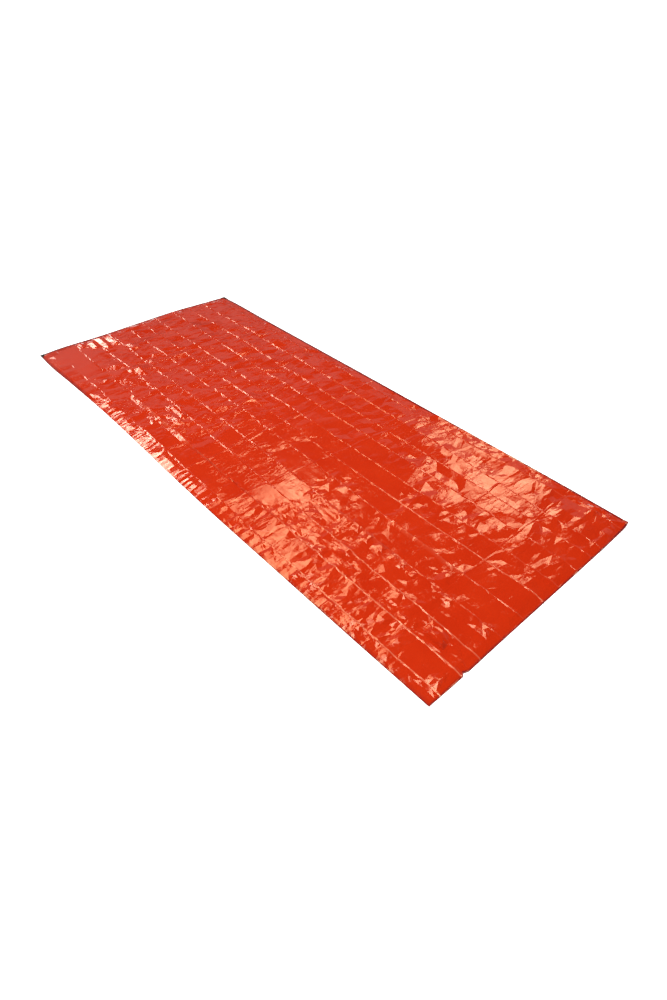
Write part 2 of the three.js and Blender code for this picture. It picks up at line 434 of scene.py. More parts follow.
# %% Folds across the bag, in millimetres
# The y of a fold at the left and right side, its height, and the x from and to which it shows
CROSS_CREASES = table(
    "left right crest from to",
    (-985, -962, 0.3, -450, 450),
    (-872, -868, 1.1, -110, 450),
    (-793, -806, 0.7, -360, 230),
    (-690, -705, 1.1, 170, 310),
    (-592, -606, 0.8, -450, 400),
    (-515, -530, 0.3, -450, 430),
    (-440, -460, 0.9, 40, 450),
    (-330, -375, 0.3, -430, 330),
    (-198, -290, 1.2, -430, 330),
    (-100, -130, 0.3, -450, 40),
    (6, 6, 1.8, -440, 440),
    (98, 102, 0.6, -190, 20),
    (205, 190, 0.2, -440, 440),
    (320, 335, 0.3, -440, 440),
    (455, 440, 0.2, -440, 440),
    (597, 597, 0.6, 60, 310),
    (720, 700, 0.3, -440, 440),
    (830, 850, 0.3, -440, 440),
    (935, 945, 0.2, -440, 440),
)
CROSS_WANDER = 2.5
CROSS_WAVES = {"longest": 500, "shortest": 90}
CROSS_STEPS = 300
CROSS_FADE = 50.0
CROSS_FOOT = 4.5
SHARP_CREST = 1.0
MOUTH_HEM = 26.0
FOOT_SLOPE = 2.0


def cross_line(row):
    """The y of one fold across the bag as a function of x."""
    steps = np.linspace(-WIDTH / 2 - MARGIN, WIDTH / 2 + MARGIN, CROSS_STEPS)
    slant = (row["right"] - row["left"]) / WIDTH
    line = row["left"] + slant * (steps + WIDTH / 2) + CROSS_WANDER * ripple(steps, **CROSS_WAVES)
    return lambda x: np.interp(x, steps, line)


breaks = [shifted(mouth_edge, step) for step in (0.0, RIM_WIDTH, 2 * RIM_WIDTH, MOUTH_HEM)]
for row in CROSS_CREASES:
    line = cross_line(row)
    feet = [-CROSS_FOOT, 0.0, CROSS_FOOT] if row["crest"] >= SHARP_CREST else [0.0]
    row["break"] = len(breaks) + len(feet) // 2
    breaks += [shifted(line, foot) for foot in feet]
foot_steps = (WELD_WIDTH + FOOT_SLOPE, WELD_WIDTH, FAR_RIM_WIDTH, 0.0)
breaks += [shifted(foot_edge, -step) for step in foot_steps]
sharp_folds = [row for row in CROSS_CREASES if row["crest"] >= SHARP_CREST]
print("breaks of the net:", len(breaks), "and sharp folds:", len(sharp_folds))

# %% Uneven rows and pleats, in millimetres
PITCH = {"edge": 14.0, "rim": 14.0, "weld": 14.0, "crest": 11.0, "foot": 20.0, "free": 25.0}
STRAY = {"crest": 0.5, "foot": 0.8, "free": 10.0}
PLEAT_PITCH = table(
    "y pitch", (-1060, 17), (-250, 16), (-50, 12), (230, 12), (350, 17), (600, 26), (1060, 28)
)
UNEVEN_STEP = 0.36
LEAST_PLEAT = 0.2
PLEAT_POWER = 1.5
MEETING_ROUNDS = 4


def row_shares(count):
    """Uneven places of a few rows between one break, at 0, and the next, at 1."""
    shares = np.arange(count) / count
    shares[1:] += dice.uniform(-UNEVEN_STEP, UNEVEN_STEP, count - 1) / count
    return shares


def pleat_rows(count):
    """Uneven places of a few pleats and their heights, up and down by turns."""
    signs = np.where(np.arange(count) % 2, 1.0, -1.0)
    return row_shares(count), signs * dice.uniform(LEAST_PLEAT, 1.0, count) ** PLEAT_POWER


def meeting(column_line, break_line):
    """The y at which a column meets a break, found by going back and forth between the two."""
    level = 0.0
    for _ in range(MEETING_ROUNDS):
        level = float(break_line(column_line(level)))
    return level


print("pitch of the points:", PITCH)

# %% Points strewn along the columns
strewn, ladders, pleats = [], [], {}
for number, column in enumerate(columns):
    line, kind = column["line"], column["kind"]
    pleated = column["strip"] == 0 and kind != "crest"
    levels = [meeting(line, fold) for fold in breaks]
    ladder = []
    for span, (low, high) in enumerate(zip(levels, levels[1:])):
        pitch = read_table(PLEAT_PITCH, "y", "pitch", (low + high) / 2) if pleated else PITCH[kind]
        count = max(round(float((high - low) / pitch)), 1)
        if pleated and span not in pleats:
            pleats[span] = pleat_rows(count)
        shares, rises = pleats[span] if pleated else (row_shares(count), np.zeros(count))
        ladder.append(list(range(len(strewn), len(strewn) + len(shares))))
        for share, rise in zip(shares, rises):
            level = low + share * (high - low)
            stray = 0.0
            if share > 0 and not pleated:
                stray = dice.uniform(-1, 1) * STRAY.get(kind, 0.0) / column["crowd"]
            strewn.append((float(line(level)) + stray, level, number, span + share, rise))
    ladder.append([len(strewn)])
    strewn.append((float(line(levels[-1])), levels[-1], number, len(breaks) - 1, 0.0))
    ladders.append(ladder)

x, y, column_of, break_of, pleat_of = np.array(strewn).T
own_column = [columns[int(number)] for number in column_of]
kind_of = np.array([column["kind"] for column in own_column])
strip_of = np.array([column["strip"] for column in own_column])
crowd_of = np.array([column["crowd"] for column in own_column])
print("points of the net:", len(x))


# %% Triangles between neighbouring columns
def zip_columns(left, right):
    """Triangles between two runs of points that both climb along Y."""
    faces, a, b = [], 0, 0
    while a < len(left) - 1 or b < len(right) - 1:
        left_can, right_can = a < len(left) - 1, b < len(right) - 1
        if left_can and (not right_can or y[left[a + 1]] < y[right[b + 1]]):
            faces.append((left[a], right[b], left[a + 1]))
            a += 1
        else:
            faces.append((left[a], right[b], right[b + 1]))
            b += 1
    return faces


plates = []
for left, right in zip(ladders, ladders[1:]):
    for span in range(len(breaks) - 1):
        plates += zip_columns(left[span] + left[span + 1][:1], right[span] + right[span + 1][:1])
plates = np.array(plates)
print("plates of the net:", len(plates))

# %% [markdown]
# ## Heights of the net
# Laid on the ground, the two plies touch at the weld and stand a few millimetres apart elsewhere,
# because the creases hold the film up. The upper ply climbs gently from the left weld and steeply
# from the right one and the foot. On top of that loft each panel between four creases has its own
# tilt, each crease is a low uneven ridge, and the points in between go up and down at random, by an
# amount that a table of zones gives.

# %% Loft of the upper ply, in millimetres
LOFT = 9.0
WELD_TOP = 2.2
MOUTH_TOP = 3.2
SIDE_SHOULDER = 60.0
FOOT_SHOULDER = 25.0
SHOULDER_TOP = 4.5
SHOULDER_RISE = {"near": -930, "far": -220, "fade": 130, "rise": 4.5}
LEFT_REACH = table(
    "y reach", (-1060, 60), (-900, 100), (-350, 100), (-180, 55), (-40, 38), (540, 38), (620, 11), (1060, 11)
)
FLAT_FROM = 960.0
FLAT_FADE = 60.0
CORNER_DROP = 1.4
HOLLOW = {"left": -420, "right": 20, "near": -205, "deepest": -115, "far": 40, "depth": 2.2, "fade": 60}


def print_range(name, values):
    print(name, "in mm:", round(float(values.min()), 2), "to", round(float(values.max()), 2))


reach_stations = [row["y"] for row in LEFT_REACH]
left_reach = np.interp(y, reach_stations, [row["reach"] for row in LEFT_REACH])
flat_weld = WELD_WIDTH * soft_step((y - FLAT_FROM) / FLAT_FADE)
climbs = [
    (x - left_edge(y) - flat_weld) / left_reach,
    (posts[-1](y) - x) / RIGHT_SLOPE,
    (foot_edge(x) - WELD_WIDTH - y) / FOOT_SLOPE,
]
climb = np.clip(np.min(climbs, axis=0), 0, 1)
side = soft_step((posts[-1](y) - RIGHT_SLOPE - x) / SIDE_SHOULDER)
end = soft_step((foot_edge(x) - WELD_WIDTH - FOOT_SLOPE - y) / FOOT_SHOULDER)
rise = soft_span(y, SHOULDER_RISE["near"], SHOULDER_RISE["far"], SHOULDER_RISE["fade"])
low_top = SHOULDER_TOP + SHOULDER_RISE["rise"] * rise
top = low_top + (LOFT - low_top) * side * end - CORNER_DROP * (1 - side) * (1 - end)
stations = [HOLLOW["near"], HOLLOW["deepest"], HOLLOW["far"]]
hollow = np.interp(y, stations, [0, HOLLOW["depth"], 0])
top = top - hollow * soft_span(x, HOLLOW["left"], HOLLOW["right"], HOLLOW["fade"])
mouth_climb = soft_step((y - mouth_edge(x)) / MOUTH_HEM)
top = top - (top - MOUTH_TOP) * (1 - mouth_climb)
loft = WELD_TOP + (top - WELD_TOP) * climb
print_range("loft", loft)

# %% Zones of the crumple, in millimetres
# The limits of a zone and what it adds to the zones that it lies on
CRUMPLE_ZONES = table(
    "left right near far lift folds plates strokes wrinkle",
    (-500, 500, -1100, 1100, 0.6, 0.03, 0.3, 0.02, 0.2),
    (-440, -60, -920, -310, 0.5, 0.04, 0.35, 0.13, 0.08),
    (-400, 20, -190, 90, -0.5, -0.02, -0.15, 0, 0.12),
    (-345, -165, -310, -200, -0.6, -0.03, -0.3, 0, 0.04),
    (-450, -345, -330, -215, 0.3, 0.03, 0.3, 0.12, 0.08),
    (415, 480, -850, -360, -0.3, -0.02, -0.2, 0.01, 0),
    (-300, -60, -810, -450, -0.4, -0.03, -0.25, -0.08, 0),
    (-165, 70, -540, -190, -0.4, -0.03, -0.25, -0.04, 0),
    (-60, 140, -900, -540, 0.5, 0.03, 0.3, 0.05, 0.12),
    (140, 460, -600, -150, 0.4, 0.03, 0.25, 0.03, 0.12),
    (-400, 460, 100, 750, 1.0, 0.04, 0.15, 0.03, 0.4),
    (-520, -310, 570, 1100, -0.6, -0.03, -0.3, -0.02, -0.25),
    (-520, -415, -160, 600, 0, -0.03, -0.2, -0.02, -0.24),
    (-330, -150, 890, 1080, -0.5, -0.05, -0.3, -0.02, -0.4),
    (-330, 470, -1060, -880, 0.2, 0.03, 0.3, 0.04, 0.04),
    (-300, 470, 560, 1100, 0.6, 0.03, 0.1, 0.02, 0.3),
    (140, 320, -890, -580, -0.3, -0.01, 0, 0, 0.08),
    (300, 470, -1040, -600, 0.4, 0.04, 0.3, 0.05, 0.08),
)
ZONE_FADE = 60.0


def zone_value(name, x, y):
    """One column of the zones' table, faded softly from zone to zone."""
    total = np.zeros_like(x)
    for zone in CRUMPLE_ZONES:
        inside = soft_span(x, zone["left"], zone["right"], ZONE_FADE, outside=0.5)
        inside = inside * soft_span(y, zone["near"], zone["far"], ZONE_FADE, outside=0.5)
        total += zone[name] * inside
    return np.maximum(total, 0)


print("zones:", len(CRUMPLE_ZONES))

# %% Panels between the creases
lift = np.zeros((len(posts), len(breaks)))
lift[1:-1] = dice.normal(0, 1, (len(posts) - 2, len(breaks)))
for row in sharp_folds:
    for foot in (row["break"] - 1, row["break"] + 1):
        lift[:, foot] = lift[:, row["break"]]
span = np.minimum(break_of.astype(int), len(breaks) - 2)
along = break_of - span
post_left = np.array([posts[s](v) for s, v in zip(strip_of, y)])
post_right = np.array([posts[s + 1](v) for s, v in zip(strip_of, y)])
across = np.clip((x - post_left) / (post_right - post_left), 0, 1)
low_lift = (1 - across) * lift[strip_of, span] + across * lift[strip_of + 1, span]
high_lift = (1 - across) * lift[strip_of, span + 1] + across * lift[strip_of + 1, span + 1]
panel = zone_value("lift", x, y) * ((1 - along) * low_lift + along * high_lift)
print_range("panels", panel)

# %% [markdown]
# ## Creases, folds and pleats
# A crease pressed in packing stays as a low ridge, high in one place and nearly gone in the next, and
# the film beside it bends into small folds. Simulated cloth would round all of them off, so their
# heights are set: one table for the ridges, random folds across the strips, and pleats along the left
# edge, where the weld has shrunk the film.

# %% Ridges of the creases, in millimetres
# Height of a crease at its stations, sag of the strip to its right, and strength of its pale line, which is
# partly stress whitening and partly a painted highlight
CREASE_RELIEF = table(
    "foot upper middle lower mouth sag pale",
    (0.0, 0.1, 0.6, 0.6, 0.6, 0.6, 0.7),
    (0.1, 3.2, 4.4, 0.4, 0.5, 0.5, 0.7),
    (0.4, 1.4, 1.4, 0.6, 0.4, 0.8, 0.5),
    (0.5, 1.6, 1.6, 0.9, 0.1, 0.6, 0.05),
    (0.7, 1.9, 1.8, 1.6, 0.2, 0.6, 0.1),
    (0.8, 2.0, 1.9, 0.8, 0.5, 0.8, 0.5),
    (1.0, 2.2, 1.9, 0.7, 0.1, 0.5, 0.1),
    (1.1, 2.4, 2.0, -1.2, 0.1, 0.8, 0.05),
    (1.3, 2.7, 2.1, -1.2, 0.1, 0.6, 0.05),
    (1.4, 2.9, 2.1, -1.3, 0.1, 0.7, 0.05),
    (0.6, 0.9, 0.8, 0.7, 0.2, 0.0, 0.1),
)
CREST_WAVER = 0.16
CREST_WAVES = {"longest": 260, "shortest": 45}
CREST_LIMITS = (-0.5, 2)
CREST_UNEVEN = 0.06
NEAR_UNEVEN = 0.6
FAR_UNEVEN = 0.25
FAR_UNEVEN_FROM = 600.0
UNEVEN_FADE = 300.0
CROSS_SHARE = 0.6
CROSS_UNEVEN = 0.5
CROSS_LIMITS = (0, 2.2)
PALE_FROM = -260.0
PALE_FADE = 320.0
PALE_CREST = 12.0

ridge = np.zeros_like(x)
crease_whitening_and_highlight = np.zeros_like(x)
for number, row in enumerate(CREASE_RELIEF):
    on_crest = (kind_of == "crest") & (strip_of == number)
    crest_y = y[on_crest]
    crest = along_crease(row, crest_y)
    uneven = CREST_UNEVEN + NEAR_UNEVEN * soft_step(-crest_y / UNEVEN_FADE)
    uneven = uneven + FAR_UNEVEN * soft_step((crest_y - FAR_UNEVEN_FROM) / UNEVEN_FADE)
    waver = CREST_WAVER * ripple(crest_y, **CREST_WAVES) + uneven * dice.normal(0, 1, len(crest))
    ridge[on_crest] += crest * np.clip(1 + waver, *CREST_LIMITS)
    # The pale line is partly stress whitening and partly a painted highlight on the crease
    pale = row["pale"] * soft_step((PALE_FROM - crest_y) / PALE_FADE)
    pale = pale + crest / PALE_CREST * dice.uniform(0, 1, len(crest))
    crease_whitening_and_highlight[on_crest] = np.clip(pale, 0, 1)
    in_strip = strip_of == number + 1
    ridge[in_strip] -= row["sag"] * 4 * across[in_strip] * (1 - across[in_strip])
for row in CROSS_CREASES:
    on_fold = break_of == row["break"]
    stretch = soft_span(x[on_fold], row["from"], row["to"], CROSS_FADE, outside=1.0)
    uneven = np.clip(1 + CROSS_UNEVEN * dice.normal(0, 1, len(stretch)), *CROSS_LIMITS)
    crest = row["crest"] * stretch * uneven
    ridge[on_fold] += CROSS_SHARE * crest
print_range("ridges", ridge)

# %% Folds across the strips
FOLDS = {"waves": 9, "longest": 170.0, "shortest": 60.0, "slant": 0.8}
FOLD_SWAY = 0.8
SWAY_LENGTH = 180.0
PATCHY_WAVES = {"longest": 500, "shortest": 120, "terms": 3}
PATCHY_SLANTS = (0.4, -0.3)
PATCHY_MEAN = 0.9
PATCHY_SWING = 0.5
PATCHY_LIMITS = (0.1, 1.7)


def fold_field(x, y, waves, longest, shortest, slant):
    """Sharp random folds that run mostly across the bag, in mm for a slope of about 1."""
    total = np.zeros_like(x)
    for length in np.geomspace(longest, shortest, waves):
        turned = dice.normal(0, slant)
        start, sway_start = dice.uniform(0, 2 * math.pi, 2)
        sway = FOLD_SWAY * np.sin(2 * math.pi * x / SWAY_LENGTH + sway_start)
        turn = 2 * math.pi / length * (math.cos(turned) * y + math.sin(turned) * x) + start + sway
        total += length / 4 * np.arcsin(np.sin(turn)) / (math.pi / 2)
    return total / math.sqrt(waves)


def patchy(x, y):
    """Where the film happens to be more or less folded, about 1 on the whole."""
    waves = ripple(x + PATCHY_SLANTS[0] * y, **PATCHY_WAVES)
    waves = waves + ripple(y + PATCHY_SLANTS[1] * x, **PATCHY_WAVES)
    return np.clip(PATCHY_MEAN + PATCHY_SWING * waves, *PATCHY_LIMITS)


folds = zone_value("folds", x, y) * fold_field(x, y, **FOLDS) * patchy(x, y)
print_range("folds", folds)

# %% Pleats along the left edge, in millimetres
PLEAT_HEIGHT = table(
    "y height",
    (-1060, 0.1), (-900, 1.3), (-600, 1.8), (-250, 1.6), (-50, 1.1),
    (230, 1.0), (350, 2.3), (500, 2.5), (600, 0.2), (1060, 0.1),
)
PLEAT_SHARE = {"edge": 0.4, "rim": 0.6, "weld": 1.0, "crest": 0.0, "foot": 0.8, "free": 1.0}
pleat_share = np.array([PLEAT_SHARE[kind] for kind in kind_of])
pleat = pleat_of * read_table(PLEAT_HEIGHT, "y", "height", y) * pleat_share
print_range("pleats", pleat)

# %% Random heights, most of them small and a few large
FOLD_CALM = 0.3
CRUMPLE_CLIMB = 3.0
SPIKE_POWER = 0.7
LOWEST_FILM = 1.4
CRUMPLE_SHARE = {"crest": 0.15, "foot": 0.6, "free": 1.0}


def spiky(count):
    """Random numbers of which most are near 0 and a few are large."""
    draw = dice.normal(0, 1, count)
    return draw * np.abs(draw) ** SPIKE_POWER


crumple_share = np.array([CRUMPLE_SHARE.get(kind, 0.0) for kind in kind_of])
crumple = zone_value("plates", x, y) * crumple_share
crumple = crumple * np.clip(climb * CRUMPLE_CLIMB, 0, 1)
crumple = crumple / crowd_of ** 0.5
for row in sharp_folds:
    near_fold = np.isin(break_of, [row["break"] - 1, row["break"], row["break"] + 1])
    crumple[near_fold] *= FOLD_CALM
height = loft + climb * (panel + ridge + folds) + pleat + crumple * spiky(len(x))
height = np.maximum(height, LOWEST_FILM)
print_range("net", height)

# %% [markdown]
# ## Marks for the finish
# Along the sharp creases the finish paints a pale line, partly the stress whitening that a fold leaves in
# plastic and partly a painted highlight, and along the edges it paints a dark shade where the film turns
# down. Both follow the net, so the points carry them as numbers, and the finish reads those by name. A
# painted image would do as well, but it would have to be laid out again after every change to the net.

# %% Marks that the finish reads
NEAR_LINE = -200.0
FAR_LINE = 560.0
LINE_FADE = 120.0
NEAR_LEFT_SHADE = 0.3
FAR_LEFT_SHADE = 0.8
MOUTH_RIM_SHADE = 0.5

# Painted shade for the edges: the foot, the far sides, the right rim, the left rim near the mouth and the
# foot, and the mouth's rim get a dark mark where the film turns down
shaded_far_sides = (kind_of == "edge") | (break_of >= len(breaks) - 2) | ((kind_of == "rim") & (x > 0))
left_rim_shade = NEAR_LEFT_SHADE * soft_step((NEAR_LINE - y) / LINE_FADE)
left_rim_shade = left_rim_shade + FAR_LEFT_SHADE * soft_step((y - FAR_LINE) / LINE_FADE)
painted_edge_shade = np.where((kind_of == "rim") & (x < 0), left_rim_shade, shaded_far_sides.astype(float))
mouth_shade = np.where(break_of == 0, 1.0, np.where(break_of == 1, MOUTH_RIM_SHADE, 0.0))
painted_edge_shade = np.maximum(painted_edge_shade, mouth_shade)
wrinkle_mark = np.minimum(zone_value("wrinkle", x, y), 1)
points = np.stack([x, y, height, crumple, crease_whitening_and_highlight, painted_edge_shade, wrinkle_mark], axis=1)
print("points on a crease:", int((crease_whitening_and_highlight > 0).sum()), "and on an edge:", int((painted_edge_shade > 0).sum()))

# %% [markdown]
# ## Finer plates, strokes, tucks and puckers
# The net is too coarse for the small marks that catch the light, so its plates are split twice. Between
# the splits come the strokes, short folds in patches, and the tucks, single plates that stand off at a
# slant and are placed one by one where the real film has a bright mark. The puckers along the welds are
# the smallest and come last. A Subdivision Surface would round the plates off, so the split is done in
# code and keeps them flat.

# %% The first split
FIRST_JOLT = 0.3
FIRST_LONGEST = 13.0
# Corners 0, 1 and 2 of a plate and the middles 3, 4 and 5 of its sides, by which sides are split
CUTS = {
    (0, 0, 0): [(0, 1, 2)],
    (1, 0, 0): [(3, 1, 2), (3, 2, 0)],
    (0, 1, 0): [(4, 2, 0), (4, 0, 1)],
    (0, 0, 1): [(5, 0, 1), (5, 1, 2)],
    (1, 1, 0): [(3, 1, 4), (3, 4, 2), (3, 2, 0)],
    (0, 1, 1): [(4, 2, 5), (4, 5, 0), (4, 0, 1)],
    (1, 0, 1): [(5, 0, 3), (5, 3, 1), (5, 1, 2)],
    (1, 1, 1): [(0, 3, 5), (3, 1, 4), (5, 4, 2), (3, 4, 5)],
}


def split_plates(points, faces, longest, jolt):
    """Splits the sides longer than a limit and jolts their middles; a point is x, y, z and its marks."""
    sides = np.sort(np.concatenate([faces[:, [0, 1]], faces[:, [1, 2]], faces[:, [2, 0]]]), axis=1)
    sides, side_of = np.unique(sides, axis=0, return_inverse=True)
    steps = points[sides[:, 1], :2] - points[sides[:, 0], :2]
    is_long = np.hypot(steps[:, 0], steps[:, 1]) > longest
    middles = points[sides[is_long]].mean(axis=1)
    middles[:, 2] += jolt * middles[:, 3] * spiky(len(middles))
    middle_of = np.zeros(len(sides), dtype=int)
    middle_of[is_long] = len(points) + np.arange(len(middles))
    side_of = side_of.reshape(3, -1)
    slots = np.concatenate([faces.T, middle_of[side_of]])
    parts = []
    for pattern, corners in CUTS.items():
        chosen = slots[:, (is_long[side_of].T == pattern).all(axis=1)]
        parts += [chosen[list(corner)].T for corner in corners]
    return np.concatenate([points, middles]), np.concatenate(parts)


fine_points, fine_plates = split_plates(points, plates, FIRST_LONGEST, FIRST_JOLT)
print("plates after the first split:", len(fine_plates))

# %% Strokes: short folds across the strips, in patches
STROKES = {"waves": 4, "longest": 85.0, "shortest": 38.0, "slant": 0.5}
STROKE_CLIMB = 4.0
fine_x, fine_y = fine_points[:, 0], fine_points[:, 1]
on_film = np.clip((fine_points[:, 2] - WELD_TOP) / STROKE_CLIMB, 0, 1)
strokes = zone_value("strokes", fine_x, fine_y) * fold_field(fine_x, fine_y, **STROKES)
strokes = strokes * on_film * patchy(fine_x, fine_y)
fine_points[:, 2] += strokes
print_range("strokes", strokes)

# %% Tucks, where a plate of film stands off at a slant
# The limits of a tuck and its slopes across and along the bag
TUCKS = table(
    "left right near far across along",
    (-312, -290, 985, 1030, 0.177, 0.015),
    (-272, -250, 950, 1005, 0.2, 0.015),
    (-236, -206, 915, 1022, 0.217, 0.015),
    (-200, -168, 925, 1018, 0.237, 0.01),
    (-152, -128, 842, 892, 0.265, 0.0),
    (-232, -206, 630, 692, 0.2, 0.02),
    (-160, -136, 688, 714, 0.235, 0.02),
    (-385, -340, 664, 682, 0.11, 0.034),
    (-380, -335, 620, 638, 0.11, 0.034),
    (-308, -284, 245, 318, 0.27, 0.024),
    (-276, -252, 262, 350, 0.29, 0.022),
    (-318, -288, -972, -928, -0.18, -0.08),
    (-212, -188, -1020, -994, -0.13, -0.12),
    (-410, -374, -1034, -1014, -0.17, -0.11),
    (-204, -186, -900, -868, -0.14, -0.09),
    (378, 402, -970, -954, 0.095, -0.19),
    (408, 430, -972, -958, 0.1, -0.2),
    (372, 396, -1000, -985, 0.1, -0.21),
    (398, 420, -1012, -998, 0.1, -0.22),
    (332, 354, -1046, -1033, 0.09, -0.23),
    (405, 440, -1076, -1056, 0.1, -0.24),
    (-458, -430, -708, -672, 0.03, -0.11),
    (-455, -410, -804, -784, 0.045, -0.18),
    (-455, -408, -775, -748, 0.065, -0.065),
    (-310, -275, -806, -780, 0.04, -0.157),
    (-346, -325, -860, -838, -0.03, -0.23),
    (-338, -308, -658, -636, 0.028, -0.22),
    (-296, -268, -600, -530, -0.017, -0.065),
    (-420, -392, -862, -842, -0.025, -0.194),
    (-213, -196, -780, -760, -0.016, -0.216),
    (-418, -372, -614, -584, 0.046, 0.013),
    (-206, -184, -480, -405, 0.038, -0.026),
    (-206, -182, -522, -490, 0.05, -0.06),
    (-206, -182, -562, -532, 0.055, -0.075),
    (-206, -182, -604, -574, 0.066, -0.1),
    (-212, -190, -660, -630, 0.073, -0.128),
    (-214, -192, -705, -684, 0.08, -0.15),
    (-214, -194, -735, -714, 0.08, -0.16),
    (-288, -264, -520, -478, 0.01, -0.04),
)
TUCK_FADE = 8.0


def tuck_height(row, x, y):
    """A tilted plate within four lines, which falls off steeply outside them."""
    low_x = row["left"] if row["across"] > 0 else row["right"]
    low_y = row["near"] if row["along"] > 0 else row["far"]
    plate = row["across"] * (x - low_x) + row["along"] * (y - low_y)
    outside = np.max([row["left"] - x, x - row["right"], row["near"] - y, y - row["far"]], axis=0)
    return np.maximum(plate, 0) * np.clip(1 - outside / TUCK_FADE, 0, 1)


for row in TUCKS:
    fine_points[:, 2] += tuck_height(row, fine_x, fine_y)
print("tucks:", len(TUCKS), "and the film now reaches", round(float(fine_points[:, 2].max()), 1), "mm")

# %% The second split, which only makes the plates smaller
SECOND_LONGEST = 7.5
fine_points, fine_plates = split_plates(fine_points, fine_plates, SECOND_LONGEST, 0.0)
print("plates after the second split:", len(fine_plates))

# %% Puckers, where the weld has drawn the film together
PUCKERS = table(
    "left right near far slope",
    (-470, -415, 170, 620, 0.1),
    (405, 470, -860, -350, 0.05),
    (-470, -395, -960, -560, 0.085),
)
PUCKER_WAVES = {"waves": 3, "longest": 34.0, "shortest": 17.0, "slant": 0.12}
PUCKER_FADE = 30.0
pucker_x, pucker_y = fine_points[:, 0], fine_points[:, 1]
pucker_field = fold_field(pucker_x, pucker_y, **PUCKER_WAVES)
for row in PUCKERS:
    inside = soft_span(pucker_x, row["left"], row["right"], PUCKER_FADE, outside=0.5)
    inside = inside * soft_span(pucker_y, row["near"], row["far"], PUCKER_FADE)
    puckered = fine_points[:, 2] + row["slope"] * inside * pucker_field
    fine_points[:, 2] = np.maximum(puckered, LOWEST_FILM)
print("pucker field in mm for a slope of 1:", round(float(np.abs(pucker_field).max()), 1))

# %% [markdown]
# ## The crumple and the rim
# Geometry Nodes finish the film. The tree pushes every point by a random amount times the crumple that
# the net carries, and turns the open edge down and a little way back under, so that the sheet doesn't
# end in a knife edge. The sizes are inputs of the tree, and the seed is fixed, so the film is the same
# each time.

# %% Geometry Nodes tree for the film
def product(tree, one, other):
    return add_node(tree, "ShaderNodeMath", {0: one, 1: other}, operation="MULTIPLY")["Value"]


def extruded(tree, mesh, edges, offset):
    sockets = {"Mesh": mesh, "Selection": edges, "Offset": offset}
    return add_node(tree, "GeometryNodeExtrudeMesh", sockets, mode="EDGES")


def film_tree():
    tree = bpy.data.node_groups.new("crumpled_film", "GeometryNodeTree")
    sizes = {"Jolt": "Float", "Rim Drop": "Vector", "Rim Turn": "Vector"}
    add_interface(tree, "INPUT", {"Net": "Geometry", **sizes, "Seed": "Int", "Finish": "Material"})
    add_interface(tree, "OUTPUT", {"Film": "Geometry"})
    entry = add_node(tree, "NodeGroupInput")
    limits = {2: -1.0, 3: 1.0, "Seed": entry["Seed"]}
    draw = add_node(tree, "FunctionNodeRandomValue", limits, data_type="FLOAT")[1]
    size = add_node(tree, "ShaderNodeMath", {0: draw}, operation="ABSOLUTE")["Value"]
    carried = {"Name": "crumple"}
    amount = add_node(tree, "GeometryNodeInputNamedAttribute", carried, data_type="FLOAT")["Attribute"]
    push = product(tree, product(tree, product(tree, draw, size), amount), entry["Jolt"])
    upwards = add_node(tree, "ShaderNodeCombineXYZ", {"Z": push})["Vector"]
    sockets = {"Geometry": entry["Net"], "Offset": upwards}
    moved = add_node(tree, "GeometryNodeSetPosition", sockets)["Geometry"]
    faces = add_node(tree, "GeometryNodeInputMeshEdgeNeighbors")["Face Count"]
    at_rim = add_node(tree, "FunctionNodeCompare", {2: faces, 3: 1}, data_type="INT", operation="EQUAL")
    down = extruded(tree, moved, at_rim["Result"], entry["Rim Drop"])
    terms = {0: add_node(tree, "GeometryNodeInputPosition")["Position"], 1: entry["Rim Turn"]}
    inwards = add_node(tree, "ShaderNodeVectorMath", terms, operation="MULTIPLY")["Vector"]
    under = extruded(tree, down["Mesh"], down["Top"], inwards)
    real = add_node(tree, "GeometryNodeRealizeInstances", {"Geometry": under["Mesh"]})
    sockets = {"Geometry": real["Geometry"], "Material": entry["Finish"]}
    painted = add_node(tree, "GeometryNodeSetMaterial", sockets)
    add_node(tree, "NodeGroupOutput", {"Film": painted["Geometry"]})
    return tree


film_nodes = film_tree()
print("tree:", film_nodes.name, "with", len(film_nodes.nodes), "nodes")


# %% From points to a plain mesh
def add_object(name, data):
    item = bpy.data.objects.new(name, data)
    bpy.context.scene.collection.objects.link(item)
    return item


def set_inputs(modifier, values):
    """Sets a modifier's inputs by the identifiers of the tree's sockets."""
    for item in modifier.node_group.interface.items_tree:
        if item.in_out == "INPUT" and item.name in values:
            modifier[item.identifier] = values[item.name]


def plain_mesh(piece):
    """Turns the evaluated piece into a plain mesh and removes its modifiers."""
    graph = bpy.context.evaluated_depsgraph_get()
    mesh = bpy.data.meshes.new_from_object(piece.evaluated_get(graph), depsgraph=graph)
    net = piece.data
    piece.modifiers.clear()
    piece.data = mesh
    bpy.data.meshes.remove(net)
    mesh.name = piece.name


print("sockets of the tree:", [item.name for item in film_nodes.interface.items_tree])

# %% The upper ply
RIM_TURN = 5.0
RIM_DROP = 0.7
JOLT = 0.12


